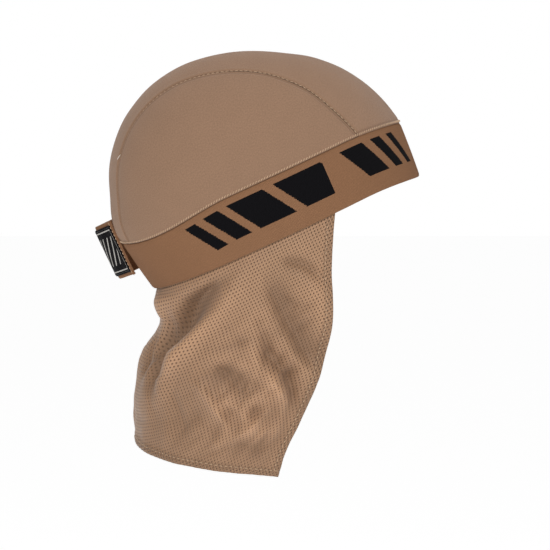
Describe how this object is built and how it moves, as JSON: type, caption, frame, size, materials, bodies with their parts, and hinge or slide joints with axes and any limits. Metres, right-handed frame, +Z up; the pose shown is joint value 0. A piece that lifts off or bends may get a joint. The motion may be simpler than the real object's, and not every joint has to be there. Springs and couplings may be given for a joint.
{
  "type": "skull wrap",
  "caption": "Skull wrap: a stretch crown on an elastic headband with a striped weave, a perforated mesh flap over the neck and a closure strap at the back.",
  "frame": {"origin": "where the top of the head touches the inside of the crown", "axes": "+Z up, -Y towards the face, +X to the wearer's left; millimetre source, metres here"},
  "size_m": [0.1556, 0.2147, 0.267],
  "materials": {
    "crown_knit": "matt stretch knit",
    "band_elastic": "woven elastic with black stripes",
    "strap_elastic": "woven elastic",
    "label_weave": "dark woven label with a pale border",
    "flap_mesh": "perforated sports mesh"
  },
  "bodies": {
    "root": {"crown_center": "crown_knit", "crown_side_right": "crown_knit", "crown_side_left": "crown_knit", "headband": "band_elastic", "closure_strap": "strap_elastic", "strap_label": "label_weave", "neck_flap": "flap_mesh"}
  },
  "joints": []
}
